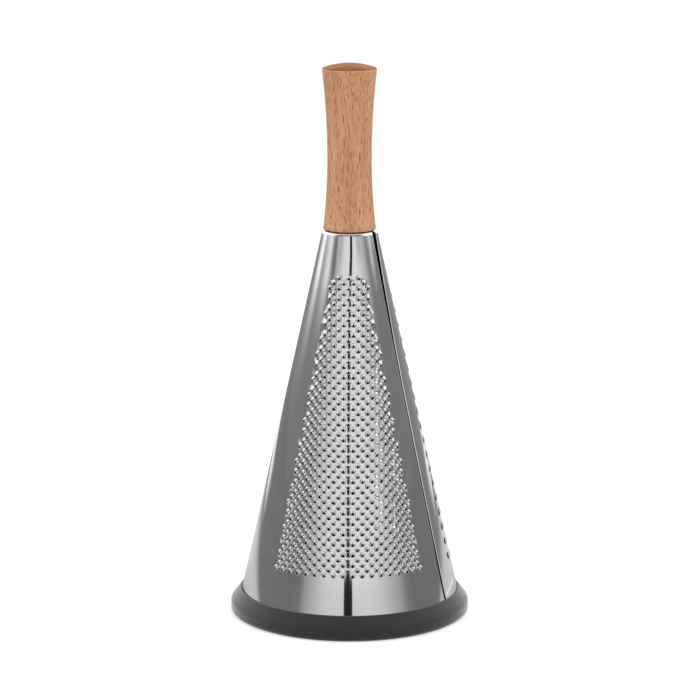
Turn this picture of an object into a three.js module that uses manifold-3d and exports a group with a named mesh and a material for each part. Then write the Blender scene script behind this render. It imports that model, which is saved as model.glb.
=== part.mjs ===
// Cone grater: a rolled sheet-steel cone with a fine, a coarse and a slicing zone, a turned wooden
// handle that one screw pulls down onto the turned-in top of the cone, and a soft push-on base ring.
// Millimetres, +Z up. The origin is on the table, on the axis of the cone. Azimuth 0 faces -Y, the
// middle of the fine zone, and grows towards +X.
import * as THREE from "three";
import { mergeVertices } from "three/addons/utils/BufferGeometryUtils.js";
import Module from "manifold-3d";

const wasm = await Module();
wasm.setup();

const DEGREE = Math.PI / 180;

// Gap that stays between pieces that touch on the real grater
const CLEARANCE = 0.3;

// Base ring: a soft ring with a groove for the skirt of the cone
const RING_OUTER_RADIUS = 57.5;
const RING_WALL = 5.5; // from the outside of the ring in to the steel at the rim
const RING_HEIGHT = 11.5;
const RING_WALL_HEIGHT = 5.7; // where the upright outside would meet the sloping top
const RING_FOOT_ROUND = 2.4;
const RING_WALL_ROUND = 2.5;
const RING_RIM_WIDTH = 0.6; // narrow level rim against the steel
const RING_FLOOR = 2.7; // soft material under the groove
const RING_LIP_WIDTH = 2.3; // inner wall of the groove
const RING_LIP_DROP = 2; // the inner wall stays this far below the outer rim

// Steel cone: its outside runs straight from the ring to the shoulder
const SHEET = 0.6;
const CONE_TOP_RADIUS = 12.9; // outside radius where the straight side would meet the flat top
const CONE_TOP_HEIGHT = 186.3;
const SHOULDER_ROUND = 1.8;
const TOP_LIP_WIDTH = 5.4; // the top is turned in by this much, and leaves a hole

// Lap seam: the outer layer ends in a step and sinks back into the cone further round
const LAP_AZIMUTH = 59 * DEGREE;
const LAP_STEP = 0.45;
const LAP_TAPER = 26 * DEGREE;
const LAP_FADE = 1.5; // the lap is pressed flat over this height at both ends

// Fine zone: rows of raised points, every other row shifted by half a pitch
const FINE_AZIMUTH = -1 * DEGREE;
const FINE_TOP_MARGIN = 20.9; // from the top of the cone down to the first row
const FINE_BOTTOM_MARGIN = 17.4; // from the ring up to the last row, or less than a row more
const FINE_ROW_PITCH = 2.45; // along the slope
const FINE_PITCH = 4.5; // round the cone
const FINE_TOP_HALF_ANGLE = 25.9 * DEGREE;
const FINE_BOTTOM_HALF_ANGLE = 46.1 * DEGREE;
const FINE_POINT_RADIUS = 1.55;
const FINE_POINT_HEIGHT = 0.75;

// Coarse zone: rows of holes, each row spread over its own width
const COARSE_AZIMUTH = 120 * DEGREE;
const COARSE_TOP_MARGIN = 30.9;
const COARSE_BOTTOM_MARGIN = 17;
const COARSE_ROW_PITCH = 7.2;
const COARSE_PITCH = 9.1; // about this far apart round the cone
const COARSE_TOP_HALF_ANGLE = 22 * DEGREE;
const COARSE_BOTTOM_HALF_ANGLE = 41.7 * DEGREE;
const COARSE_HOLE_RADIUS = 2.1;

// Slicing zone: wide slots, each with a raised blade along its lower edge
const SLICE_AZIMUTH = -120 * DEGREE;
const SLICE_TOP_MARGIN = 40.3;
const SLICE_BOTTOM_MARGIN = 29;
const SLICE_ROW_PITCH = 26.5;
const SLICE_TOP_HALF_ANGLE = 15.5 * DEGREE;
const SLICE_BOTTOM_HALF_ANGLE = 18 * DEGREE;
const SLICE_SLOT_HEIGHT = 2.6;
const SLICE_BLADE_HEIGHT = 7; // along the slope, from where the blade leaves the cone to its edge
const SLICE_BLADE_LIFT = 1.2;

// Handle: turned beech with a waist and a slightly domed end
const HANDLE_LENGTH = 76.2; // to the rim of the dome
const HANDLE_BOTTOM_RADIUS = 12.55;
const HANDLE_WAIST_RADIUS = 10.5;
const HANDLE_WAIST_HEIGHT = 33.8;
const HANDLE_TOP_RADIUS = 13;
const HANDLE_DOME = 2.4;
const HANDLE_TOP_ROUND = 0.9;
const HANDLE_BOTTOM_ROUND = 0.5;

// Screw and clamp disc inside the top of the cone
const SCREW_RADIUS = 2.2;
const SCREW_GRIP = 30; // length inside the wood
const SCREW_TIP = 5;
const SCREW_HEAD_RADIUS = 4.6;
const SCREW_HEAD_HEIGHT = 2.8;
const SCREW_HEAD_ROUND = 1.1;
const RECESS_LENGTH = 4.4;
const RECESS_WIDTH = 1.1;
const RECESS_DEPTH = 1.5;
const BORE_SPARE = 2; // the pilot bore is this much deeper than the screw reaches
const DISC_OVERLAP = 2.9; // the disc reaches this far past the hole in the top
const DISC_THICKNESS = 1.5;
const DISC_ROUND = 0.5;

// Facets
const CONE_SIDES = 36;
const RING_SIDES = 48;
const HANDLE_SIDES = 32;
const SCREW_SIDES = 20;
const ARC_STEPS = 3;
const HANDLE_STEPS = 10;
const DOME_STEPS = 4;
const POINT_SIDES = 3;
const HOLE_SIDES = 4;
const SLIVER = 0.02; // thinner faces, left by the joins and cuts, are merged away

// Lines that several pieces share
const coneBaseRadius = RING_OUTER_RADIUS - RING_WALL; // outside of the cone at the ring
const coneSlope = (coneBaseRadius - CONE_TOP_RADIUS) / (CONE_TOP_HEIGHT - RING_HEIGHT);
const coneTilt = Math.atan(coneSlope);
const coneRadius = (z) => coneBaseRadius - coneSlope * (z - RING_HEIGHT);
const sheetAcross = SHEET / Math.cos(coneTilt); // sheet thickness measured level
const skirtTop = RING_HEIGHT - CLEARANCE;
const skirtBottom = RING_FLOOR + CLEARANCE;
const skirtRadius = coneRadius(skirtTop);
const topBore = CONE_TOP_RADIUS - TOP_LIP_WIDTH;
const discTop = CONE_TOP_HEIGHT - SHEET - CLEARANCE;
const screwSeat = discTop - DISC_THICKNESS - CLEARANCE;
const handleSeat = CONE_TOP_HEIGHT + CLEARANCE;

// A closed outline from corners [x, y, round], with an arc at every corner that has a round
function outline(corners) {
  const points = [];
  corners.forEach(([x, y, round = 0], i) => {
    const corner = new THREE.Vector2(x, y);
    if (round === 0) {
      points.push(corner);
      return;
    }
    const [beforeX, beforeY] = corners.at(i - 1);
    const [afterX, afterY] = corners[(i + 1) % corners.length];
    const before = new THREE.Vector2(beforeX, beforeY).sub(corner).normalize();
    const after = new THREE.Vector2(afterX, afterY).sub(corner).normalize();
    const halfAngle = Math.acos(before.dot(after)) / 2;
    const middle = before.clone().add(after).normalize();
    const centre = corner.clone().addScaledVector(middle, round / Math.sin(halfAngle));
    const start = corner.clone().addScaledVector(before, round / Math.tan(halfAngle)).sub(centre);
    const turn = (Math.PI - 2 * halfAngle) * Math.sign(after.cross(before));
    for (let k = 0; k <= ARC_STEPS; k++) {
      const spoke = start.clone().rotateAround(new THREE.Vector2(), (turn * k) / ARC_STEPS);
      points.push(spoke.add(centre));
    }
  });
  return points;
}

// An outline turned about the axis. It runs anticlockwise with radius to the right and height up.
function turned(points, sides) {
  return new THREE.LatheGeometry([...points, points[0]], sides).rotateX(Math.PI / 2);
}

// Geometry to a solid that can be joined and cut, and back
function solid(geometry) {
  const bare = geometry.clone();
  bare.deleteAttribute("normal");
  bare.deleteAttribute("uv");
  const merged = mergeVertices(bare, 1e-4);
  return new wasm.Manifold(
    new wasm.Mesh({
      numProp: 3,
      vertProperties: merged.attributes.position.array,
      triVerts: new Uint32Array(merged.index.array),
    }),
  );
}

function geometryOf(body) {
  const mesh = body.getMesh();
  const geometry = new THREE.BufferGeometry();
  geometry.setAttribute("position", new THREE.BufferAttribute(mesh.vertProperties, 3));
  geometry.setIndex(new THREE.BufferAttribute(mesh.triVerts, 1));
  geometry.computeVertexNormals();
  return geometry;
}

const joined = (bodies) => wasm.Manifold.union(bodies);

// Places local +Z along the outward normal of the cone, with local +Y up its slope
function onCone(height, azimuth) {
  const across = new THREE.Vector3(Math.cos(azimuth), Math.sin(azimuth), 0);
  const level = new THREE.Vector3(Math.sin(azimuth), -Math.cos(azimuth), 0);
  const normal = level.clone().multiplyScalar(Math.cos(coneTilt));
  normal.z = Math.sin(coneTilt);
  const up = normal.clone().cross(across);
  const place = level.multiplyScalar(coneRadius(height));
  place.z = height;
  return new THREE.Matrix4().makeBasis(across, up, normal).setPosition(place);
}

// Height and half-width of each row of a zone, from the top row down
function zoneRows(topMargin, bottomMargin, pitch, topHalfAngle, bottomHalfAngle) {
  const step = pitch * Math.cos(coneTilt);
  const top = CONE_TOP_HEIGHT - topMargin;
  const gaps = Math.floor((top - RING_HEIGHT - bottomMargin) / step);
  const topHalfWidth = topHalfAngle * coneRadius(top);
  const bottomHalfWidth = bottomHalfAngle * coneRadius(top - gaps * step);
  return Array.from({ length: gaps + 1 }, (_, row) => ({
    odd: row % 2,
    height: top - row * step,
    halfWidth: THREE.MathUtils.lerp(topHalfWidth, bottomHalfWidth, row / gaps),
  }));
}

// Base ring
function baseRing() {
  const grooveOuter = skirtRadius + CLEARANCE;
  const grooveInner = skirtRadius - SHEET - CLEARANCE;
  const bore = grooveInner - RING_LIP_WIDTH;
  return turned(
    outline([
      [bore, 0],
      [RING_OUTER_RADIUS, 0, RING_FOOT_ROUND],
      [RING_OUTER_RADIUS, RING_WALL_HEIGHT, RING_WALL_ROUND],
      [grooveOuter + RING_RIM_WIDTH, RING_HEIGHT],
      [grooveOuter, RING_HEIGHT],
      [grooveOuter, RING_FLOOR],
      [grooveInner, RING_FLOOR],
      [grooveInner, RING_HEIGHT - RING_LIP_DROP],
      [bore, RING_HEIGHT - RING_LIP_DROP],
    ]),
    RING_SIDES,
  );
}

// The plain sheet of the cone with its lap, before the zones are punched
function rolledSheet() {
  const underTop = CONE_TOP_HEIGHT - SHEET;
  const shoulder = CONE_TOP_HEIGHT - SHOULDER_ROUND;
  const lapBottom = RING_HEIGHT + LAP_FADE;
  const lapTop = shoulder - LAP_FADE;
  const points = outline([
    [skirtRadius, skirtBottom],
    [skirtRadius, skirtTop],
    [coneRadius(lapBottom), lapBottom],
    [coneRadius(lapTop), lapTop],
    [coneRadius(CONE_TOP_HEIGHT), CONE_TOP_HEIGHT, SHOULDER_ROUND],
    [topBore, CONE_TOP_HEIGHT],
    [topBore, underTop],
    [coneRadius(underTop) - sheetAcross, underTop, SHOULDER_ROUND - SHEET],
    [skirtRadius - SHEET, skirtTop - SHEET * Math.tan(coneTilt / 2)],
    [skirtRadius - SHEET, skirtBottom],
  ]);
  const lapRows = [2, 3]; // the third and fourth points, both on the straight side, carry the lap
  const sheet = turned(points, CONE_SIDES);
  const position = sheet.getAttribute("position");
  const rows = points.length + 1;
  // The first two columns stand at the seam, and the step of the lap is the face between them.
  for (let i = 0; i < position.count; i++) {
    const column = Math.floor(i / rows);
    const along = Math.max(0, column - 1) / (CONE_SIDES - 1);
    const azimuth = 2 * Math.PI * along;
    const atSeam = column === 0 || column === CONE_SIDES;
    const lift = atSeam ? 0 : LAP_STEP * Math.max(0, 1 - azimuth / LAP_TAPER);
    const point = points[i % rows] ?? points[0];
    const radius = point.x + (lapRows.includes(i % rows) ? lift : 0);
    const angle = LAP_AZIMUTH + azimuth;
    position.setXYZ(i, radius * Math.sin(angle), -radius * Math.cos(angle), point.y);
  }
  return solid(sheet);
}

// Fine zone: raised points
function finePoints() {
  const root = SHEET / 2;
  const length = FINE_POINT_HEIGHT + root;
  const cone = new THREE.ConeGeometry(FINE_POINT_RADIUS, length, POINT_SIDES);
  const point = solid(cone.rotateX(Math.PI / 2).translate(0, 0, length / 2 - root));
  const rows = zoneRows(
    FINE_TOP_MARGIN,
    FINE_BOTTOM_MARGIN,
    FINE_ROW_PITCH,
    FINE_TOP_HALF_ANGLE,
    FINE_BOTTOM_HALF_ANGLE,
  );
  return rows.flatMap(({ odd, height, halfWidth }) => {
    const shift = odd / 2;
    const reach = Math.floor(halfWidth / FINE_PITCH - shift);
    return Array.from({ length: 2 * reach + 1 + odd }, (_, k) => {
      const across = (k - reach - shift) * FINE_PITCH;
      const azimuth = FINE_AZIMUTH + across / coneRadius(height);
      return point.transform(onCone(height, azimuth).elements);
    });
  });
}

// Coarse zone: what is cut away
function coarseHoles() {
  const depth = 4 * SHEET;
  const bar = new THREE.CylinderGeometry(COARSE_HOLE_RADIUS, COARSE_HOLE_RADIUS, depth, HOLE_SIDES);
  const hole = solid(bar.rotateX(Math.PI / 2));
  const rows = zoneRows(
    COARSE_TOP_MARGIN,
    COARSE_BOTTOM_MARGIN,
    COARSE_ROW_PITCH,
    COARSE_TOP_HALF_ANGLE,
    COARSE_BOTTOM_HALF_ANGLE,
  );
  return rows.flatMap(({ odd, height, halfWidth }) => {
    const gaps = 2 * Math.round(halfWidth / COARSE_PITCH - odd / 2) + odd;
    return Array.from({ length: gaps + 1 }, (_, k) => {
      const across = halfWidth * ((2 * k) / gaps - 1);
      const azimuth = COARSE_AZIMUTH + across / coneRadius(height);
      return hole.transform(onCone(height, azimuth).elements);
    });
  });
}

// Slicing zone: a band turned about the axis, kept only over the width of one slot
function slotBand(corners, halfAngle) {
  const reach = 2 * coneBaseRadius;
  const side = reach * Math.tan(halfAngle);
  const wedge = new THREE.Shape([
    new THREE.Vector2(0, 0),
    new THREE.Vector2(-side, -reach),
    new THREE.Vector2(side, -reach),
  ]);
  const sector = new THREE.ExtrudeGeometry(wedge, { depth: CONE_TOP_HEIGHT, bevelEnabled: false });
  const band = solid(turned(outline(corners), CONE_SIDES).rotateZ(-LAP_AZIMUTH));
  const kept = band.intersect(solid(sector));
  return kept.rotate([0, 0, SLICE_AZIMUTH / DEGREE]);
}

function slicingSlots() {
  const rows = zoneRows(
    SLICE_TOP_MARGIN,
    SLICE_BOTTOM_MARGIN,
    SLICE_ROW_PITCH,
    SLICE_TOP_HALF_ANGLE,
    SLICE_BOTTOM_HALF_ANGLE,
  );
  return rows.map(({ height, halfWidth }) => {
    const halfAngle = halfWidth / coneRadius(height);
    const foot = height - SLICE_BLADE_HEIGHT * Math.cos(coneTilt);
    const slotTop = height + SLICE_SLOT_HEIGHT * Math.cos(coneTilt);
    const blade = slotBand(
      [
        [coneRadius(foot) - sheetAcross / 2, foot],
        [coneRadius(height) + SLICE_BLADE_LIFT, height],
        [coneRadius(height) - sheetAcross / 2, height],
      ],
      halfAngle,
    );
    const slot = slotBand(
      [
        [coneRadius(height) - 2 * sheetAcross, height],
        [coneRadius(height) + 2 * sheetAcross, height],
        [coneRadius(slotTop) + 2 * sheetAcross, slotTop],
        [coneRadius(slotTop) - 2 * sheetAcross, slotTop],
      ],
      halfAngle,
    );
    return { blade, slot };
  });
}

// The whole shell: raised forms are joined first, and the openings are cut last
function coneShell() {
  const slots = slicingSlots();
  const raised = joined([rolledSheet(), ...finePoints(), ...slots.map(({ blade }) => blade)]);
  const openings = joined([...coarseHoles(), ...slots.map(({ slot }) => slot)]);
  return geometryOf(raised.subtract(openings).simplify(SLIVER));
}

// Handle, with the pilot bore for the screw
function handle() {
  const boreRadius = SCREW_RADIUS + CLEARANCE;
  const boreDepth = SCREW_GRIP + BORE_SPARE;
  const radiusAt = (z) => {
    const end = z < HANDLE_WAIST_HEIGHT ? HANDLE_BOTTOM_RADIUS : HANDLE_TOP_RADIUS;
    const span = z < HANDLE_WAIST_HEIGHT ? HANDLE_WAIST_HEIGHT : HANDLE_LENGTH - HANDLE_WAIST_HEIGHT;
    const share = (z - HANDLE_WAIST_HEIGHT) / span;
    return HANDLE_WAIST_RADIUS + (end - HANDLE_WAIST_RADIUS) * share * share;
  };
  const side = Array.from({ length: HANDLE_STEPS - 1 }, (_, k) => {
    const z = (HANDLE_LENGTH * (k + 1)) / HANDLE_STEPS;
    return [radiusAt(z), z];
  });
  const dome = Array.from({ length: DOME_STEPS }, (_, k) => {
    const share = 1 - (k + 1) / DOME_STEPS;
    return [HANDLE_TOP_RADIUS * share, HANDLE_LENGTH + HANDLE_DOME * (1 - share * share)];
  });
  return turned(
    outline([
      [0, boreDepth],
      [boreRadius, boreDepth],
      [boreRadius, 0],
      [HANDLE_BOTTOM_RADIUS, 0, HANDLE_BOTTOM_ROUND],
      ...side,
      [HANDLE_TOP_RADIUS, HANDLE_LENGTH, HANDLE_TOP_ROUND],
      ...dome,
    ]),
    HANDLE_SIDES,
  );
}

// Disc that bridges the turned-in top from inside
function clampDisc() {
  const bore = SCREW_RADIUS + CLEARANCE;
  const rim = topBore + DISC_OVERLAP;
  return turned(
    outline([
      [bore, -DISC_THICKNESS],
      [rim, -DISC_THICKNESS, DISC_ROUND],
      [rim, 0],
      [bore, 0],
    ]),
    SCREW_SIDES,
  );
}

// Screw, with its head down and a cross recess in it
function handleScrew() {
  const reach = handleSeat - screwSeat + SCREW_GRIP;
  const blank = turned(
    outline([
      [0, -SCREW_HEAD_HEIGHT],
      [SCREW_HEAD_RADIUS, -SCREW_HEAD_HEIGHT, SCREW_HEAD_ROUND],
      [SCREW_HEAD_RADIUS, 0],
      [SCREW_RADIUS, 0],
      [SCREW_RADIUS, reach - SCREW_TIP],
      [0, reach],
    ]),
    SCREW_SIDES,
  );
  const bar = new THREE.BoxGeometry(RECESS_LENGTH, RECESS_WIDTH, 2 * RECESS_DEPTH);
  bar.translate(0, 0, -SCREW_HEAD_HEIGHT);
  const crossBar = bar.clone().rotateZ(Math.PI / 2);
  return geometryOf(solid(blank).subtract(joined([solid(bar), solid(crossBar)])));
}

// Finishes
const steel = new THREE.MeshStandardMaterial({ color: 0xb9b8b6, roughness: 0.18, metalness: 1 });
const plainSteel = new THREE.MeshStandardMaterial({ color: 0xa6a6a8, roughness: 0.35, metalness: 1 });
const beech = new THREE.MeshStandardMaterial({ color: 0xcb9263, roughness: 0.55, metalness: 0 });
const softBlack = new THREE.MeshStandardMaterial({ color: 0x3a3a3b, roughness: 0.7, metalness: 0 });

function piece(name, geometry, material, height = 0) {
  const mesh = new THREE.Mesh(geometry, material);
  mesh.name = name;
  mesh.position.z = height;
  return mesh;
}

const grater = new THREE.Group();
grater.add(piece("base_ring", baseRing(), softBlack));
grater.add(piece("cone_shell", coneShell(), steel));
grater.add(piece("clamp_disc", clampDisc(), plainSteel, discTop));
grater.add(piece("handle_screw", handleScrew(), plainSteel, screwSeat));
grater.add(piece("handle", handle(), beech, handleSeat));

export default grater;
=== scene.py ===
"""Cone grater, modelled round its frame: a punched and rolled steel cone, a turned beech handle held by
a screw and a clamp plate, and a soft base ring, on a plain white studio floor."""

import math
import random
from functools import partial

import bpy
import numpy as np
from bpy.props import FloatProperty, FloatVectorProperty, PointerProperty
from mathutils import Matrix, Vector
from mathutils.geometry import delaunay_2d_cdt


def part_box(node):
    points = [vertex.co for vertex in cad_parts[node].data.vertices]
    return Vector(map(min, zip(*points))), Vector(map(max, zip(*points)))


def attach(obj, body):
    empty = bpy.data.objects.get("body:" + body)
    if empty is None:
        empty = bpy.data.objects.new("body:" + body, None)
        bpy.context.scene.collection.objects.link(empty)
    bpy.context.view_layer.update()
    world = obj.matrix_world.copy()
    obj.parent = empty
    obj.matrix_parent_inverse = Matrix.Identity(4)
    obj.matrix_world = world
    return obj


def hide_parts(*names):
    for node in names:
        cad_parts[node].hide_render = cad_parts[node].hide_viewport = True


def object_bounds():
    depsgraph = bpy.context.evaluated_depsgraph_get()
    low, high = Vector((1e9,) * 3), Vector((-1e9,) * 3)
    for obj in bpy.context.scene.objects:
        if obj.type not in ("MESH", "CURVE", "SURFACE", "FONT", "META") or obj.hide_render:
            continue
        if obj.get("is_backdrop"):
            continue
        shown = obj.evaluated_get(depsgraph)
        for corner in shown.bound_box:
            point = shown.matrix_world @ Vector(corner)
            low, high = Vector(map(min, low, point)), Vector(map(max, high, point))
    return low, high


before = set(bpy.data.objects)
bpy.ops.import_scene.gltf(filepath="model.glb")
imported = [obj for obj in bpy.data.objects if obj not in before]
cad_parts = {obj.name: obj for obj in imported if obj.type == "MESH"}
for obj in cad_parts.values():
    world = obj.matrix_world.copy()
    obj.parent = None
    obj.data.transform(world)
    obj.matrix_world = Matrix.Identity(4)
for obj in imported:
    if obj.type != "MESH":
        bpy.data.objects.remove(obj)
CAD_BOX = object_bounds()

bl_info = {
    "name": "Cone grater",
    "version": (1, 0, 0),
    "blender": (4, 5, 0),
    "location": "View3D > Sidebar > Grater",
    "description": "Models a steel cone grater with a beech handle and a soft base ring",
    "category": "Add Mesh",
}

MM = 0.001
CLEARANCE = 0.3 * MM  # gap between pieces that touch
WHITE = (1.0, 1.0, 1.0, 1.0)
AUTO_NORMAL = Vector((0.0, 0.0, 0.0))  # a corner with this normal shades as its faces lie
MERGE_DISTANCE = 1e-6  # closer points of a turned piece become one
TINY = 1e-7  # smaller lengths of a turned piece count as none
CREASE = math.radians(40)  # sharper edges of a turned piece stay sharp

# Heights and radii that the frame gives
RING_BOTTOM, RING_TOP = (corner.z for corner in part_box("base_ring"))
RING_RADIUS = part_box("base_ring")[1].x
SKIRT_BOTTOM, CONE_TOP = (corner.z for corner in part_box("cone_shell"))
HANDLE_BOTTOM, HANDLE_TOP = (corner.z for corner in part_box("handle"))
PLATE_BOTTOM, PLATE_TOP = (corner.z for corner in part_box("clamp_disc"))
PLATE_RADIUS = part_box("clamp_disc")[1].x
SCREW_BOTTOM, SCREW_TIP = (corner.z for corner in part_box("handle_screw"))
SCREW_HEAD_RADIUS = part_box("handle_screw")[1].x


def length(name, description, metres):
    return FloatProperty(name=name, description=description, default=metres, precision=5, unit="LENGTH")


def turn(name, description, degrees):
    return FloatProperty(
        name=name, description=description, default=math.radians(degrees), subtype="ANGLE"
    )


def share(name, description, default):
    return FloatProperty(
        name=name, description=description, default=default, min=0.0, max=1.0, subtype="FACTOR"
    )


def colour(name, description, *default):
    return FloatVectorProperty(
        name=name, description=description, default=default, min=0.0, max=1.0, subtype="COLOR"
    )


def number(name, description, default, unit="NONE"):
    return FloatProperty(name=name, description=description, default=default, unit=unit)


class FineZone(bpy.types.PropertyGroup):
    """Rows of small hooded burrs, every other row shifted by half a pitch."""

    azimuth: turn("Azimuth", "Middle of the zone, from the front towards the seam", -1)
    top_margin: length("Top margin", "From the top of the cone down to the first row", 20.9 * MM)
    bottom_margin: length("Bottom margin", "Least height of the last row over the ring", 17.4 * MM)
    row_pitch: length("Row pitch", "From row to row along the slope", 2.45 * MM)
    pitch: length("Pitch", "From burr to burr round the cone", 4.5 * MM)
    top_half_angle: turn("Top half angle", "Half of the first row's width", 25.9)
    bottom_half_angle: turn("Bottom half angle", "Half of the last row's width", 46.1)
    reach: length("Burr radius", "Where a burr rises out of the sheet", 1.4 * MM)
    hole_radius: length("Hole radius", "Rim of a burr's hole", 0.72 * MM)
    corners: share("Corners", "How far a hole's three corners stand out of its circle", 0.28)
    drop: length("Hole drop", "From the middle of a burr down to its hole", 0.52 * MM)
    lift: length("Burr height", "Height of a burr's hood over the sheet", 0.8 * MM)
    lower_lift: share("Lower rim", "Share of that height at the lower rim of the hole", 0.42)
    foot_slope: share("Foot slope", "Slope of the sheet round the burrs at the sides of the zone", 0.38)


class CoarseZone(bpy.types.PropertyGroup):
    """Rows of larger holes, each with a lip raised along its lower side."""

    azimuth: turn("Azimuth", "Middle of the zone, from the front towards the seam", 120)
    top_margin: length("Top margin", "From the top of the cone down to the first row", 30.9 * MM)
    bottom_margin: length("Bottom margin", "Least height of the last row over the ring", 17 * MM)
    row_pitch: length("Row pitch", "From row to row along the slope", 7.2 * MM)
    pitch: length("Pitch", "About this far from hole to hole round the cone", 9.1 * MM)
    top_half_angle: turn("Top half angle", "Half of the first row's width", 22)
    bottom_half_angle: turn("Bottom half angle", "Half of the last row's width", 41.7)
    reach: length("Dent radius", "Where a lip rises out of the sheet", 2.8 * MM)
    hole_radius: length("Hole radius", "Rim of a hole", 2.15 * MM)
    lift: length("Lip height", "Height of a lip over the sheet", 0.4 * MM)


class SlicingZone(bpy.types.PropertyGroup):
    """Wide slots, each with a blade raised along its lower edge."""

    azimuth: turn("Azimuth", "Middle of the zone, from the front towards the seam", -120)
    top_margin: length("Top margin", "From the top of the cone down to the first blade", 40.3 * MM)
    bottom_margin: length("Bottom margin", "Least height of the last blade over the ring", 29 * MM)
    row_pitch: length("Row pitch", "From blade to blade along the slope", 26.5 * MM)
    top_half_angle: turn("Top half angle", "Half of the first slot's width", 15.5)
    bottom_half_angle: turn("Bottom half angle", "Half of the last slot's width", 18)
    slot_height: length("Slot height", "Opening over a blade", 2.6 * MM)
    blade_height: length("Blade height", "From where a blade rises to its edge", 7 * MM)
    lift: length("Blade lift", "Height of a blade's edge over the sheet", 1.2 * MM)


class ConeSizes(bpy.types.PropertyGroup):
    """The rolled sheet."""

    sheet: length("Sheet", "Thickness of the steel", 0.6 * MM)
    base_radius: length("Base radius", "Outside radius at the ring", RING_RADIUS - 5.5 * MM)
    top_radius: length("Top radius", "Radius where the side would meet the flat top", 12.9 * MM)
    shoulder_round: length("Shoulder round", "Round from the side to the flat top", 1.8 * MM)
    top_lip: length("Top lip", "The top is turned in by this much", 5.4 * MM)
    lap_azimuth: turn("Seam", "Where the outer layer of the lap ends, half-way up", 59.0)
    lap_skew: turn("Seam skew", "The seam lies this much further round at the foot than half-way up", 2.4)
    lap_hook: turn("Seam hook", "The seam turns back by this much towards its top", 4.2)
    lap_gap: length("Lap gap", "Open crack under the outer layer at the top of the seam", 0.95 * MM)
    lap_gap_middle: length("Lap gap half-way", "The same crack half-way up the seam", 0.24 * MM)
    lap_gap_foot: length("Lap gap at the foot", "The same crack at the foot of the seam", 0.4 * MM)
    lap_layer: length("Lap layer", "Edge of the outer layer", 0.4 * MM)
    lap_depth: length("Lap depth", "How far the crack goes in", 2.4 * MM)
    lap_chamfer: length("Lap chamfer", "Broken edge of the outer layer", 0.24 * MM)
    lap_taper: turn("Lap taper", "The outer layer sinks back over this turn", 48)
    lap_fade: length("Lap fade", "The lap is pressed flat over this height at the foot", 0.6 * MM)
    fine: PointerProperty(type=FineZone)
    coarse: PointerProperty(type=CoarseZone)
    slicing: PointerProperty(type=SlicingZone)


class HandleSizes(bpy.types.PropertyGroup):
    """The turned handle."""

    bottom_radius: length("Bottom radius", "At the steel", 12.55 * MM)
    waist_radius: length("Waist radius", "At the thinnest place", 10.5 * MM)
    waist_height: length("Waist height", "Of the thinnest place over the steel", 33.8 * MM)
    top_radius: length("Top radius", "At the rim of the dome", 13 * MM)
    dome: length("Dome", "Rise of the end over its rim", 2.4 * MM)
    top_round: length("Top round", "Round of the rim", 0.9 * MM)
    bottom_round: length("Bottom round", "Round of the lower edge", 0.5 * MM)
    bore_radius: length("Bore radius", "Pilot bore for the screw", 2.5 * MM)
    bore_depth: length("Bore depth", "Depth of the pilot bore", 32 * MM)


class RingSizes(bpy.types.PropertyGroup):
    """The soft base ring."""

    wall_height: length("Wall height", "Where the upright outside meets the sloping top", 5.7 * MM)
    foot_round: length("Foot round", "Round of the lower edge", 2.4 * MM)
    wall_round: length("Wall round", "Round between the outside and the sloping top", 2.5 * MM)
    rim_width: length("Rim width", "Level rim against the steel", 0.6 * MM)
    rim_round: length("Rim round", "Round of the small edges", 0.25 * MM)
    floor: length("Floor", "Soft material under the groove", 2.7 * MM)
    lip_width: length("Lip width", "Inner wall of the groove", 2.3 * MM)
    lip_drop: length("Lip drop", "The inner wall stays this far below the rim", 2 * MM)


class FixingSizes(bpy.types.PropertyGroup):
    """The screw and the plate under the top of the cone."""

    plate_bore: length("Plate bore", "Radius of the hole in the plate", 2.5 * MM)
    plate_round: length("Plate round", "Round of the plate's edges", 0.4 * MM)
    head_height: length("Head height", "Height of the screw's head", 2.8 * MM)
    head_round: length("Head round", "Round of the screw's head", 1.3 * MM)
    shank_radius: length("Shank radius", "Outside of the thread", 2.2 * MM)
    core_radius: length("Core radius", "Bottom of the thread", 1.6 * MM)
    thread_pitch: length("Thread pitch", "From ridge to ridge", 1.8 * MM)
    tip: length("Tip", "Length of the point", 5 * MM)
    recess_length: length("Recess length", "Span of the cross recess", 4.4 * MM)
    recess_width: length("Recess width", "Width of each arm of the recess", 1.1 * MM)
    recess_depth: length("Recess depth", "Depth of the recess", 1.5 * MM)


class Finishes(bpy.types.PropertyGroup):
    """Colours of the materials, as seen in plain white light; a few of them paint light or shade, as marked.
    """

    steel: colour("Steel", "Polished steel", 0.605, 0.595, 0.60)
    steel_dull: colour("Dull steel", "Steel where it is less bright", 0.56, 0.552, 0.556)
    # Painted shade: a dark colour for the inside of the cone, so that the inside and the holes read dark
    steel_inside_painted_shade: colour("Inside steel", "The inside of the cone, left dull", 0.2, 0.2, 0.205)
    zinc: colour("Zinc", "Plain hardware", 0.50, 0.50, 0.51)
    beech_light: colour("Light beech", "Early wood", 0.495, 0.259, 0.136)
    beech_dark: colour("Dark beech", "Late wood", 0.375, 0.179, 0.088)
    beech_fleck: colour("Fleck", "Short rays along the grain", 0.16, 0.048, 0.014)
    # Painted highlight: a lighter band along the rounded rim of the domed end, where it faces up
    beech_painted_rim_highlight: colour("Rim", "Worn edge round the domed end", 0.60, 0.36, 0.22)
    beech_end: colour("End grain", "The domed end", 0.197, 0.071, 0.02)
    # Painted light: the domed end is lighter towards its back
    beech_end_painted_light: colour("Pale end grain", "Lighter part of the domed end", 0.265, 0.135, 0.077)
    soft_black: colour("Soft black", "The base ring", 0.0132, 0.0132, 0.0139)
    soft_worn: colour("Worn black", "Lighter patches of the base ring", 0.017, 0.017, 0.018)


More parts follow.
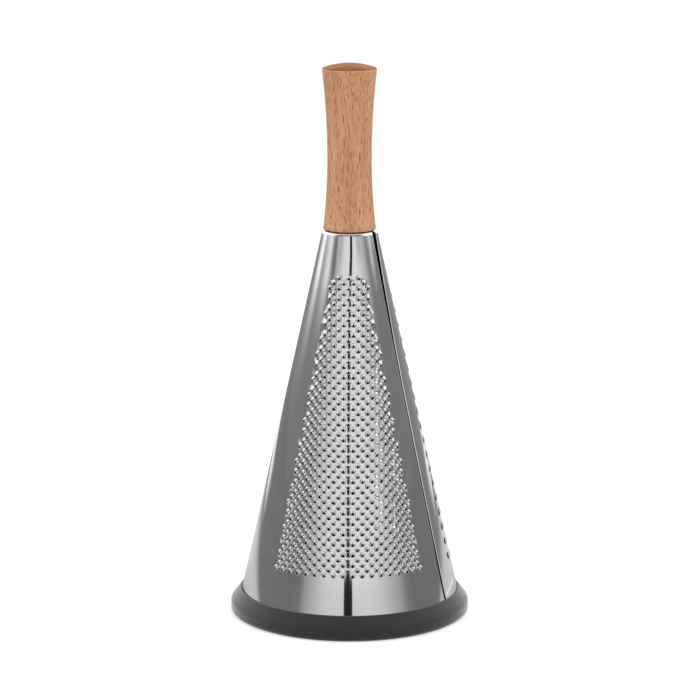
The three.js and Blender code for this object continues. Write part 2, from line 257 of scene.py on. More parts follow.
class StageSettings(bpy.types.PropertyGroup):
    """Camera, light and the cards that the steel mirrors."""

    camera_distance: length("Camera distance", "In front of the axis", 1.357)
    camera_height: length("Camera height", "Over the floor", 0.4008)
    camera_side: length("Camera side", "To the right of the axis", 0.22 * MM)
    camera_pitch: turn("Camera pitch", "Below level", 11.368)
    camera_lens: number("Lens", "Focal length", 148.93, "CAMERA")
    floor_radius: length("Floor radius", "Of the white floor", 8.0)
    floor_shade: share("Floor shade", "How much of a shadow the white floor shows", 0.5)
    floor_glow: number("Floor glow", "Keeps the floor white", 1.05)
    dark_radius: length("Dark radius", "The floor inside the grater gets no glow", 0.05)
    ambient: number("Ambient", "Light from all round", 1.0)
    softbox_size: length("Softbox size", "Side of the lamp overhead", 0.8)
    softbox_height: length("Softbox height", "Of the lamp over the floor", 1.0)
    softbox_power: number("Softbox power", "Of the lamp overhead", 4.6, "POWER")
    side_lamp_size: length("Side lamp size", "Side of the lamps left and right", 0.4)
    side_lamp_height: length("Side lamp height", "Of these lamps over the floor", 0.3)
    side_lamp_distance: length("Side lamp distance", "Of these lamps from the axis", 0.8)
    side_lamp_power: number("Side lamp power", "Of each of these lamps", 1.1, "POWER")
    wall_radius: length("Wall radius", "Of the ring of grey cards", 0.45)
    wall_height: length("Wall height", "Of the ring of cards", 0.8)
    strip_turn: turn("Strip", "Middle of the black gap between the front cards", -1.5)
    strip_lean: turn("Strip lean", "Of the black gap to the right, at the top", 7.4)
    strip_half: turn("Strip half", "Half of the black gap", 4.3)
    glow_radius: length("Glow radius", "The floor in front of the cards mirrors light up to here", 0.22)


class GraterSettings(bpy.types.PropertyGroup):
    """Everything that can be changed."""

    cone: PointerProperty(type=ConeSizes)
    handle: PointerProperty(type=HandleSizes)
    ring: PointerProperty(type=RingSizes)
    fixings: PointerProperty(type=FixingSizes)
    finishes: PointerProperty(type=Finishes)
    stage: PointerProperty(type=StageSettings)


class Wire:
    """A socket's value in a node tree: arithmetic on it adds Math nodes."""

    def __init__(self, nodes, socket):
        self.nodes = nodes
        self.socket = socket

    def maths(self, operation, *values):
        sockets = dict(enumerate(values))
        return self.nodes.node("ShaderNodeMath", {"operation": operation}, sockets)

    def __add__(self, other):
        return self.maths("ADD", self, other)

    def __radd__(self, other):
        return self.maths("ADD", other, self)

    def __sub__(self, other):
        return self.maths("SUBTRACT", self, other)

    def __rsub__(self, other):
        return self.maths("SUBTRACT", other, self)

    def __mul__(self, other):
        return self.maths("MULTIPLY", self, other)

    def __rmul__(self, other):
        return self.maths("MULTIPLY", other, self)

    def __truediv__(self, other):
        return self.maths("DIVIDE", self, other)

    def __rtruediv__(self, other):
        return self.maths("DIVIDE", other, self)

    def __pow__(self, power):
        return self.maths("POWER", self, power)

    def __neg__(self):
        return 0.0 - self

    def __abs__(self):
        return self.maths("ABSOLUTE", self)

    def most(self, other):
        """The larger of two values."""
        return self.maths("MAXIMUM", self, other)


class Nodes:
    """A node tree that is built node by node."""

    def __init__(self, tree):
        self.tree = tree
        tree.nodes.clear()

    def node(self, kind, settings=None, sockets=None, output=0):
        """Adds a node, sets its settings, then its sockets, and returns one of its outputs."""
        made = self.tree.nodes.new(kind)
        for name, value in (settings or {}).items():
            if name == "stops":
                self.set_stops(made.color_ramp, value)
            else:
                setattr(made, name, value)
        for name, value in (sockets or {}).items():
            if isinstance(value, Wire):
                self.tree.links.new(value.socket, made.inputs[name])
            else:
                made.inputs[name].default_value = value
        return Wire(self, made.outputs[output]) if made.outputs else None

    def set_stops(self, ramp, stops):
        while len(ramp.elements) < len(stops):
            ramp.elements.new(1.0)
        for element, (position, grey) in zip(ramp.elements, stops):
            element.position = position
            element.color = (grey, grey, grey, 1.0)

    def place(self):
        """Object coordinates, and their three numbers."""
        spot = self.node("ShaderNodeTexCoord", output="Object")
        return spot, [self.node("ShaderNodeSeparateXYZ", None, {0: spot}, k) for k in range(3)]

    def vector(self, x, y, z):
        return self.node("ShaderNodeCombineXYZ", None, {0: x, 1: y, 2: z})

    def from_axis(self, x, y):
        """How far a place lies from the axis."""
        return self.node("ShaderNodeVectorMath", {"operation": "LENGTH"}, {0: self.vector(x, y, 0.0)}, 1)

    def noise(self, vector, scale, detail=3.0, roughness=0.5):
        sockets = {"Vector": vector, "Scale": scale, "Detail": detail, "Roughness": roughness}
        return self.node("ShaderNodeTexNoise", None, sockets)

    def dashes(self, vector, scale, core, edge):
        """1 in the middle of some of the cells of a scatter, fading to 0 round them."""
        cells = {"Vector": vector, "Scale": scale, "Randomness": 1.0}
        distance = self.node("ShaderNodeTexVoronoi", None, cells, "Distance")
        tint = self.node("ShaderNodeTexVoronoi", None, cells, "Color")
        chance = self.node("ShaderNodeSeparateColor", None, {0: tint})
        return (1.0 - self.step(distance, core, edge)) * self.step(chance, 0.1, 0.4)

    def ramp(self, value, *stops):
        return self.node("ShaderNodeValToRGB", {"stops": stops}, {0: value})

    def step(self, value, low, high, way="SMOOTHSTEP"):
        """Rises from 0 to 1 between two values, smoothly or in another way."""
        sockets = {0: value, 1: low, 2: high, 3: 0.0, 4: 1.0}
        return self.node("ShaderNodeMapRange", {"interpolation_type": way}, sockets)

    def blend(self, factor, first, second):
        """Mixes two colours."""
        sockets = {0: factor, 6: opaque(first), 7: opaque(second)}
        return self.node("ShaderNodeMix", {"data_type": "RGBA"}, sockets, 2)

    def bump(self, height, strength, distance):
        sockets = {"Height": height, "Strength": strength, "Distance": distance}
        return self.node("ShaderNodeBump", None, sockets)

    def glow(self, tint, strength):
        return self.node("ShaderNodeEmission", None, {"Color": tint, "Strength": strength})

    def surface(self, shader):
        """The material's output."""
        self.node("ShaderNodeOutputMaterial", None, {"Surface": shader})

    def finish(self, **sockets):
        """The shader of a finish and the material's output."""
        named = {name.replace("_", " ").title(): value for name, value in sockets.items()}
        if "Specular" in named:
            named["Specular IOR Level"] = named.pop("Specular")
        self.surface(self.node("ShaderNodeBsdfPrincipled", None, named))


def opaque(value):
    return value if isinstance(value, Wire) else (*value, 1.0)


def new_material(name):
    material = bpy.data.materials.new(name)
    material.use_nodes = True
    return material, Nodes(material.node_tree)


def polished_steel(finishes, blank):
    """Polished sheet with a faint grain along the slope. The inside is rougher, as unpolished steel is, and
    painted darker: painted shade that makes the inside and the holes read dark.
    """
    material, nodes = new_material("polished_steel")
    spot, (x, y, z) = nodes.place()
    radius = nodes.from_axis(x, y)
    round_the_cone = nodes.vector(x / radius, y / radius, z * 0.12)
    grain = nodes.noise(round_the_cone, 14.0, 4.0, 0.6)
    cloud = nodes.noise(spot, 40.0, 2.0)
    sunk = (blank.apex - z.most(blank.bottom)) * blank.slope - radius
    below_shoulder = 1.0 - nodes.step(z, blank.top - 1 * MM, blank.top)
    # Painted shade: the inside below the shoulder gets a dark colour, and it is also made rougher
    inside = nodes.step(sunk, 0.3 * MM, 0.5 * MM) * below_shoulder
    polished = nodes.blend(cloud, finishes.steel, finishes.steel_dull)
    nodes.finish(
        base_color=nodes.blend(inside, polished, finishes.steel_inside_painted_shade),
        metallic=1.0,
        roughness=0.03 + grain * 0.03 + cloud * 0.02 + inside * 0.35,
        normal=nodes.bump(grain, 0.03, 0.15 * MM),
    )
    return material


def plain_steel(finishes):
    """Zinc-grey hardware."""
    material, nodes = new_material("plain_steel")
    spot, _ = nodes.place()
    cloud = nodes.noise(spot, 500.0, 4.0, 0.6)
    dark = [0.7 * value for value in finishes.zinc]
    nodes.finish(
        base_color=nodes.blend(cloud, finishes.zinc, dark),
        metallic=1.0,
        roughness=0.28 + cloud * 0.2,
        normal=nodes.bump(cloud, 0.1, 0.05 * MM),
    )
    return material


def oiled_beech(finishes):
    """Turned beech: fine fibres, short dark flecks along the grain, and darker end grain, with a painted
    highlight along the rim of the domed end and painted light towards its back.
    """
    material, nodes = new_material("oiled_beech")
    spot, (x, y, z) = nodes.place()
    fibre = nodes.noise(nodes.vector(x, y, z * 0.05), 1500.0, 4.0, 0.65)
    broad = nodes.noise(nodes.vector(x, y, z * 0.06), 160.0, 2.0)
    tone = nodes.step(0.55 * fibre + 0.45 * broad, 0.36, 0.64)
    fleck = 0.95 * nodes.dashes(nodes.vector(x + z * 0.04, y, z * 0.062), 1750.0, 0.2, 0.33)
    fine_fleck = 0.5 * nodes.dashes(nodes.vector(x + z * 0.03, y, z * 0.06), 2500.0, 0.16, 0.38)
    fleck = fleck.most(fine_fleck)
    normal = nodes.node("ShaderNodeNewGeometry", output="Normal")
    upright = nodes.node("ShaderNodeSeparateXYZ", None, {0: normal}, 2)
    end = nodes.step(upright, 0.3, 0.5)
    # Painted highlight along the rounded rim, where the surface starts to face up
    rim = nodes.step(upright, 0.06, 0.22)
    # Painted light: the domed end turns lighter towards its back, broken up by a random mottle
    rays = nodes.noise(spot, 420.0, 3.0, 0.6)
    mottled = 0.6 + 0.4 * nodes.step(rays, 0.4, 0.6)
    painted_light_at_back = nodes.step(y + 5 * MM * rays, -7.5 * MM, -3.5 * MM) * mottled
    end_wood = nodes.blend(painted_light_at_back, finishes.beech_end, finishes.beech_end_painted_light)
    side_wood = nodes.blend(tone, finishes.beech_light, finishes.beech_dark)
    wood = nodes.blend(rim, side_wood, finishes.beech_painted_rim_highlight)
    flecked = nodes.blend(fleck, wood, finishes.beech_fleck)
    nodes.finish(
        base_color=nodes.blend(end, flecked, end_wood),
        roughness=0.47 + 0.1 * fibre + 0.08 * fleck + 0.4 * end,
        normal=nodes.bump(0.5 * fibre - fleck, 0.12, 0.12 * MM),
        specular=0.14,
    )
    return material


def soft_black(finishes):
    """Matt soft plastic with a fine moulded texture."""
    material, nodes = new_material("soft_black")
    spot, _ = nodes.place()
    cloud = nodes.noise(spot, 90.0, 3.0)
    skin = nodes.noise(spot, 2600.0, 2.0)
    nodes.finish(
        base_color=nodes.blend(cloud, finishes.soft_black, finishes.soft_worn),
        roughness=0.5 + 0.12 * cloud,
        normal=nodes.bump(skin, 0.12, 0.1 * MM),
        specular=0.22,
        sheen_weight=0.68,
        sheen_roughness=0.42,
    )
    return material


def rounded(corners, steps):
    """A closed outline from corners (radius, height, round), with an arc where there is a round."""
    points = []
    for k, (radius, height, bend) in enumerate(corners):
        corner = Vector((radius, height))
        if bend == 0:
            points.append(corner)
            continue
        before = (Vector(corners[k - 1][:2]) - corner).normalized()
        after = (Vector(corners[(k + 1) % len(corners)][:2]) - corner).normalized()
        half = before.angle(after) / 2
        centre = corner + (before + after).normalized() * bend / math.sin(half)
        spoke = corner + before * bend / math.tan(half) - centre
        swing = math.pi - 2 * half
        side = 1 if before.cross(after) < 0 else -1
        for j in range(steps + 1):
            angle = side * swing * j / steps
            c, s = math.cos(angle), math.sin(angle)
            points.append(centre + Vector((c * spoke.x - s * spoke.y, s * spoke.x + c * spoke.y)))
    return points


def turned(name, outline, steps):
    """A piece turned on the axis from a closed outline of (radius, height) points."""
    bpy.ops.object.select_all(action="DESELECT")
    bpy.ops.mesh.primitive_circle_add(vertices=len(outline), radius=RING_RADIUS)
    piece = bpy.context.object
    piece.name = name
    piece.data.name = name
    for vertex, (radius, height) in zip(piece.data.vertices, outline):
        vertex.co = (max(radius, 0.0), 0.0, height)
    on_axis = [vertex.co.x < TINY for vertex in piece.data.vertices]
    for vertex in piece.data.vertices:
        vertex.select = False
    for edge in piece.data.edges:
        edge.select = all(on_axis[k] for k in edge.vertices)
    bpy.ops.object.mode_set(mode="EDIT")
    bpy.ops.mesh.select_mode(type="EDGE")
    bpy.ops.mesh.delete(type="EDGE")
    bpy.ops.mesh.select_mode(type="VERT")
    bpy.ops.mesh.select_all(action="SELECT")
    bpy.ops.mesh.spin(steps=steps, angle=2 * math.pi, center=(0, 0, 0), axis=(0, 0, 1))
    bpy.ops.mesh.select_all(action="SELECT")
    bpy.ops.mesh.remove_doubles(threshold=MERGE_DISTANCE)
    bpy.ops.mesh.dissolve_degenerate(threshold=TINY)
    bpy.ops.mesh.select_all(action="SELECT")
    bpy.ops.mesh.normals_make_consistent(inside=False)
    bpy.ops.object.mode_set(mode="OBJECT")
    bpy.ops.object.shade_smooth_by_angle(angle=CREASE)
    return piece


def finished(piece, material, body, node):
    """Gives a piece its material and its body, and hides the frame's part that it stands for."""
    piece.data.materials.clear()
    piece.data.materials.append(material)
    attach(piece, body)
    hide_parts(node)


def round_rim(steps):
    """Spots round a circle: which end they belong to, and their direction from its middle."""
    angles = [2 * math.pi * k / steps for k in range(steps)]
    return [(0.0, math.cos(angle), math.sin(angle)) for angle in angles]


def slot_rim(end_steps, side_steps):
    """Spots round a slot with round ends, in the same form and also anticlockwise."""
    rim = []
    for end in (1, -1):
        angles = [math.pi * k / end_steps for k in range(end_steps + 1)]
        rim += [(end, end * math.sin(angle), -end * math.cos(angle)) for angle in angles]
        rim += [(end * (1 - 2 * k / side_steps), 0.0, end) for k in range(1, side_steps)]
    return rim


def round_slot(rim, half_width, radius, middle=0.0):
    """Points of a rim at a size, as (across, up)."""
    straight = half_width - radius
    return [(end * straight + radius * x, middle + radius * y) for end, x, y in rim]


def punched_rings(outer, hole, lip, lifts, sheet, profile, back):
    """Rings of (across, up, height): out of the sheet, over the lip, and through to the inside. The
    profile gives the share of the lift at each ring, and back the share of the way out to the foot at
    which the form ends inside."""
    lip_share = 0.9
    lip_drop = 0.02 * MM

    def between(start, end, part, heights):
        return [
            (a[0] + (b[0] - a[0]) * part, a[1] + (b[1] - a[1]) * part, height)
            for a, b, height in zip(start, end, heights)
        ]

    rings = []
    for row, rise in enumerate(profile):
        rings.append(between(outer, hole, row / (len(profile) - 1), [lift * rise for lift in lifts]))
    rings.append([(x, y, lip_share * lift - lip_drop) for (x, y), lift in zip(lip, lifts)])
    rings.append(between(hole, outer, back, [-sheet] * len(hole)))
    return rings


class Punch:
    """A punched form at its place on the flat blank."""

    def __init__(self, blank, height, azimuth, rings, half_width, radius, middle=0.0, curved=False):
        middle_spot = blank.flat(height, azimuth)
        down = middle_spot.normalized()
        across = Vector((-down.y, down.x))
        self.rings = [
            [(middle_spot + across * x - down * y, lift) for x, y, lift in ring] for ring in rings
        ]
        self.middle = np.array(middle_spot - down * middle)
        self.across = np.array(across)
        self.straight = half_width - radius
        self.radius = radius
        self.centre = blank.outside(middle_spot)
        self.curved = curved

    def covers(self, spots, margin):
        """Which spots of the blank lie in the form or too close to it."""
        away = spots - self.middle
        sideways = np.maximum(np.abs(away @ self.across) - self.straight, 0.0)
        upright = away @ np.array((-self.across[1], self.across[0]))
        return np.hypot(sideways, upright) < self.radius + margin

    def foot_normals(self, blank):
        """Normals round the form, where the sheet curves up into it."""
        normals = []
        for spot, _ in self.rings[0]:
            outward = (blank.outside(spot) - self.centre).normalized()
            slope = blank.foot_slope(*blank.place(spot)) if self.curved else 0.0
            normals.append((blank.outside_normal(spot) + outward * slope).normalized())
        return normals


class Blank:
    """The flat sheet of the cone, from seam to seam, and how it rolls up."""

    # The sheet between the punched forms
    COLUMNS = 120
    ROW_STEP = 4 * MM
    MARGIN = 0.5 * MM

    # Points round each form, its rise from the sheet to its rim, how far it is open inside, and its lip
    BURR_STEPS = 12
    BURR_PROFILE = (0, 0.18, 0.55, 0.85, 1)
    BURR_BACK = 0.45
    BURR_LIP = 0.86
    COARSE_STEPS = 16
    COARSE_PROFILE = (0, 0.24, 0.59, 1)
    COARSE_BACK = 0.35
    COARSE_LIP = 0.93
    COARSE_LEAST_LIFT = 0.08
    SLOT_END_STEPS = 8
    SLOT_SIDE_STEPS = 12
    SLOT_PROFILE = (0, 0.25, 0.5, 0.75, 1)
    SLOT_BACK = 0.06
    SLOT_LIP = 0.1 * MM
    SLOT_MARGIN = 1 * MM
    SLOT_END_MARGIN = 1.5 * MM

    # Least and greatest share by which the burrs differ
    SEED = 7
    HOLE_SPREAD = (0.88, 1.1)
    LIFT_SPREAD = (0.88, 1.08)
    RIM_SPREAD = (0.95, 1.05)

    def __init__(self, sizes):
        self.sizes = sizes
        self.slope = (sizes.base_radius - sizes.top_radius) / (CONE_TOP - RING_TOP)
        self.tilt = math.atan(self.slope)
        self.apex = RING_TOP + sizes.base_radius / self.slope
        self.bottom = RING_TOP - CLEARANCE
        shoulder = sizes.shoulder_round * math.tan((math.pi / 2 - self.tilt) / 2)
        self.top = CONE_TOP - shoulder * math.cos(self.tilt)
        self.middle = (self.top + self.bottom) / 2
        fine_rows = [(height, half_width) for _, height, half_width in self.rows(sizes.fine)]
        self.fine_ends = fine_rows[0], fine_rows[-1]

    def radius(self, height):
        """Outside radius of the plain cone."""
        return (self.apex - height) * self.slope

    def away(self, height):
        """How far a height lies from the middle of the seam: 1 at the top and -1 at the foot."""
        return (height - self.middle) / (self.top - self.middle)

    def end(self, height):
        """Azimuth of the seam, where the sheet ends."""
        away = self.away(height)
        hook = self.sizes.lap_hook * max(away, 0.0) ** 4
        return self.sizes.lap_azimuth - self.sizes.lap_skew * away + hook

    def start(self, height):
        """Azimuth of the seam, where the sheet starts."""
        return self.end(height) - 2 * math.pi

    def on_sheet(self, height, azimuth):
        """The same azimuth, counted from the seam where the sheet starts."""
        return azimuth if azimuth < self.end(height) else azimuth - 2 * math.pi

    def flat(self, height, azimuth):
        """Spot on the flat blank that rolls up to a height and an azimuth."""
        reach = (self.apex - height) / math.cos(self.tilt)
        swing = azimuth * math.sin(self.tilt)
        return Vector((reach * math.sin(swing), -reach * math.cos(swing)))

    def place(self, spot):
        """Height and azimuth that a spot on the flat blank rolls up to."""
        height = self.apex - spot.length * math.cos(self.tilt)
        return height, math.atan2(spot.x, -spot.y) / math.sin(self.tilt)

    def level(self, azimuth):
        """Straight away from the axis."""
        return Vector((math.sin(azimuth), -math.cos(azimuth), 0.0))

    def across(self, azimuth):
        """Round the axis, to the right as seen from outside."""
        return Vector((math.cos(azimuth), math.sin(azimuth), 0.0))

    def normal(self, azimuth):
        return self.level(azimuth) * math.cos(self.tilt) + Vector((0, 0, math.sin(self.tilt)))

    def on_cone(self, height, azimuth, lift=0.0):
        """A point at a lift over the plain cone."""
        upright = Vector((0.0, 0.0, height))
        return self.level(azimuth) * self.radius(height) + upright + self.normal(azimuth) * lift

    def fade(self, height):
        """The lap is pressed flat towards the foot of the seam."""
        part = min(max((height - self.bottom) / self.sizes.lap_fade, 0.0), 1.0)
        return part * part * (3 - 2 * part)

    def gap(self, height):
        """The crack under the outer layer is wider towards both ends of the seam."""
        away = self.away(height)
        end = self.sizes.lap_gap if away > 0 else self.sizes.lap_gap_foot
        return self.sizes.lap_gap_middle + (end - self.sizes.lap_gap_middle) * away * away

    def lap(self, height, azimuth, strength):
        """Lift of the outer layer, and how fast it falls along the turn."""
        part = 1 - (azimuth - self.start(height)) / self.sizes.lap_taper
        if part <= 0:
            return 0.0, 0.0
        step = (self.gap(height) + self.sizes.lap_layer) * strength
        return step * part * part, 2 * step * part / self.sizes.lap_taper

    def outside(self, spot, lift=0.0):
        """A point at a lift over the sheet, on which the lap is raised."""
        height, azimuth = self.place(spot)
        return self.on_cone(height, azimuth, lift + self.lap(height, azimuth, self.fade(height))[0])

    def outside_normal(self, spot):
        height, azimuth = self.place(spot)
        fall = self.lap(height, azimuth, self.fade(height))[1] / self.radius(height)
        return (self.normal(azimuth) + self.across(azimuth) * fall).normalized()

    def rows(self, zone):
        """Parity, height and half-width of each row of a zone, from the top row down."""
        step = zone.row_pitch * math.cos(self.tilt)
        top = CONE_TOP - zone.top_margin
        gaps = int((top - RING_TOP - zone.bottom_margin) / step)
        first = zone.top_half_angle * self.radius(top)
        last = zone.bottom_half_angle * self.radius(top - gaps * step)
        for row in range(gaps + 1):
            yield row % 2, top - row * step, first + (last - first) * row / gaps

    def foot_slope(self, height, azimuth):
        """Slope of the sheet round the burrs: most at the sides of the fine zone, none outside it."""
        (top, first), (bottom, last) = self.fine_ends
        part = (top - height) / (top - bottom)
        half_width = first + (last - first) * part
        side = abs(azimuth - self.sizes.fine.azimuth) * self.radius(height) / half_width
        return self.sizes.fine.foot_slope * side**2 if 0 < part < 1 and side < 1 else 0.0

    def burrs(self):
        """Fine zone: small burrs, each a hood over a hole, no two quite alike."""
        zone = self.sizes.fine
        draw = random.Random(self.SEED)
        rim = round_rim(self.BURR_STEPS)
        outer = round_slot(rim, zone.reach, zone.reach)
        bulges = [1 + zone.corners * (4 * y**3 - 3 * y) for _, _, y in rim]
        hole_rim = [(end, x * bulge, y * bulge) for (end, x, y), bulge in zip(rim, bulges)]
        hood = [zone.lower_lift + (1 - zone.lower_lift) * (0.5 + 0.5 * y) for _, _, y in rim]
        for odd, row_height, half_width in self.rows(zone):
            height = row_height + zone.drop * math.cos(self.tilt)
            count = int(half_width / zone.pitch - odd / 2)
            for k in range(2 * count + 1 + odd):
                across = (k - count - odd / 2) * zone.pitch
                hole_radius = zone.hole_radius * draw.uniform(*self.HOLE_SPREAD)
                lip_radius = self.BURR_LIP * hole_radius
                lift = zone.lift * draw.uniform(*self.LIFT_SPREAD)
                lifts = [lift * part * draw.uniform(*self.RIM_SPREAD) for part in hood]
                hole = round_slot(hole_rim, hole_radius, hole_radius, -zone.drop)
                lip = round_slot(hole_rim, lip_radius, lip_radius, -zone.drop)
                rings = punched_rings(
                    outer, hole, lip, lifts, self.sizes.sheet, self.BURR_PROFILE, self.BURR_BACK
                )
                azimuth = self.on_sheet(height, zone.azimuth + across / self.radius(height))
                yield Punch(self, height, azimuth, rings, zone.reach, zone.reach, curved=True)

    def coarse_holes(self):
        """Coarse zone: round holes with a lip along the lower side."""
        zone = self.sizes.coarse
        rim = round_rim(self.COARSE_STEPS)
        lip_radius = self.COARSE_LIP * zone.hole_radius
        outer = round_slot(rim, zone.reach, zone.reach)
        hole = round_slot(rim, zone.hole_radius, zone.hole_radius)
        lip = round_slot(rim, lip_radius, lip_radius)
        least = self.COARSE_LEAST_LIFT
        lifts = [zone.lift * (least + (1 - least) * (0.5 - 0.5 * y) ** 1.5) for _, _, y in rim]
        rings = punched_rings(
            outer, hole, lip, lifts, self.sizes.sheet, self.COARSE_PROFILE, self.COARSE_BACK
        )
        for odd, height, half_width in self.rows(zone):
            gaps = 2 * round(half_width / zone.pitch - odd / 2) + odd
            for k in range(gaps + 1):
                across = half_width * (2 * k / gaps - 1)
                azimuth = self.on_sheet(height, zone.azimuth + across / self.radius(height))
                yield Punch(self, height, azimuth, rings, zone.reach, zone.reach)

    def slicing_slots(self):
        """Slicing zone: a slot over each raised blade."""
        zone = self.sizes.slicing
        rim = slot_rim(self.SLOT_END_STEPS, self.SLOT_SIDE_STEPS)
        half_slot = zone.slot_height / 2
        outer_top = zone.slot_height + self.SLOT_MARGIN
        outer_radius = (zone.blade_height + outer_top) / 2
        outer_middle = outer_top - outer_radius
        for _, height, half_width in self.rows(zone):
            outer_width = half_width + self.SLOT_END_MARGIN
            outer = round_slot(rim, outer_width, outer_radius, outer_middle)
            hole = round_slot(rim, half_width, half_slot, half_slot)
            lip = round_slot(rim, half_width - self.SLOT_LIP, half_slot - self.SLOT_LIP, half_slot)
            lifts = [
                zone.lift * max(-y, 0.0) * (1 - (x / half_width) ** 4)
                for (_, _, y), (x, _) in zip(rim, hole)
            ]
            rings = punched_rings(
                outer, hole, lip, lifts, self.sizes.sheet, self.SLOT_PROFILE, self.SLOT_BACK
            )
            azimuth = self.on_sheet(height, zone.azimuth)
            yield Punch(self, height, azimuth, rings, outer_width, outer_radius, outer_middle)


class SheetMesh:
    """Points and faces of the cone, and the normal that each corner of a face shades with."""

    def __init__(self):
        self.points = []
        self.faces = []
        self.normals = []
        self.flat_faces = []

    def add(self, point):
        self.points.append(point)
        return len(self.points) - 1

    def face(self, corners, normals, flat=False):
        """Adds a face, leaving out corners that repeat."""
        kept = [k for k in range(len(corners)) if corners[k] != corners[k - 1]]
        if len(kept) < 3:
            return
        self.faces.append([corners[k] for k in kept])
        self.normals += [normals[k] for k in kept]
        self.flat_faces.append(flat)

    def band(self, lower, upper, lower_normals=None, upper_normals=None, flat=False):
        """Faces between two rows of points that run to the right, seen from outside."""
        plain = [AUTO_NORMAL] * len(lower)
        below = lower_normals or plain
        above = upper_normals or plain
        for k in range(len(lower) - 1):
            corners = (lower[k], lower[k + 1], upper[k + 1], upper[k])
            self.face(corners, (below[k], below[k + 1], above[k + 1], above[k]), flat)

    def piece(self, name):
        mesh = bpy.data.meshes.new(name)
        mesh.from_pydata(self.points, [], self.faces)
        mesh.polygons.foreach_set("use_smooth", [not flat for flat in self.flat_faces])
        mesh.normals_split_custom_set(self.normals)
        piece = bpy.data.objects.new(name, mesh)
        bpy.context.scene.collection.objects.link(piece)
        return piece


def filled(spots, border, rims):
    """Triangles over the blank between its border and the rims of its openings, anticlockwise."""
    inside_only = 1
    closest = 1e-8
    edges = [(loop[k - 1], loop[k]) for loop in (border, *rims) for k in range(len(loop))]
    opening = {spot: k for k, rim in enumerate(rims) for spot in rim}
    _, _, faces, came_from, _, _ = delaunay_2d_cdt(spots, edges, [], inside_only, closest)
    for face in faces:
        a, b, c = (came_from[k][0] for k in face)
        if a in opening and opening[a] == opening.get(b) == opening.get(c):
            continue
        if (spots[b] - spots[a]).cross(spots[c] - spots[a]) < 0:
            b, c = c, b
        yield a, b, c


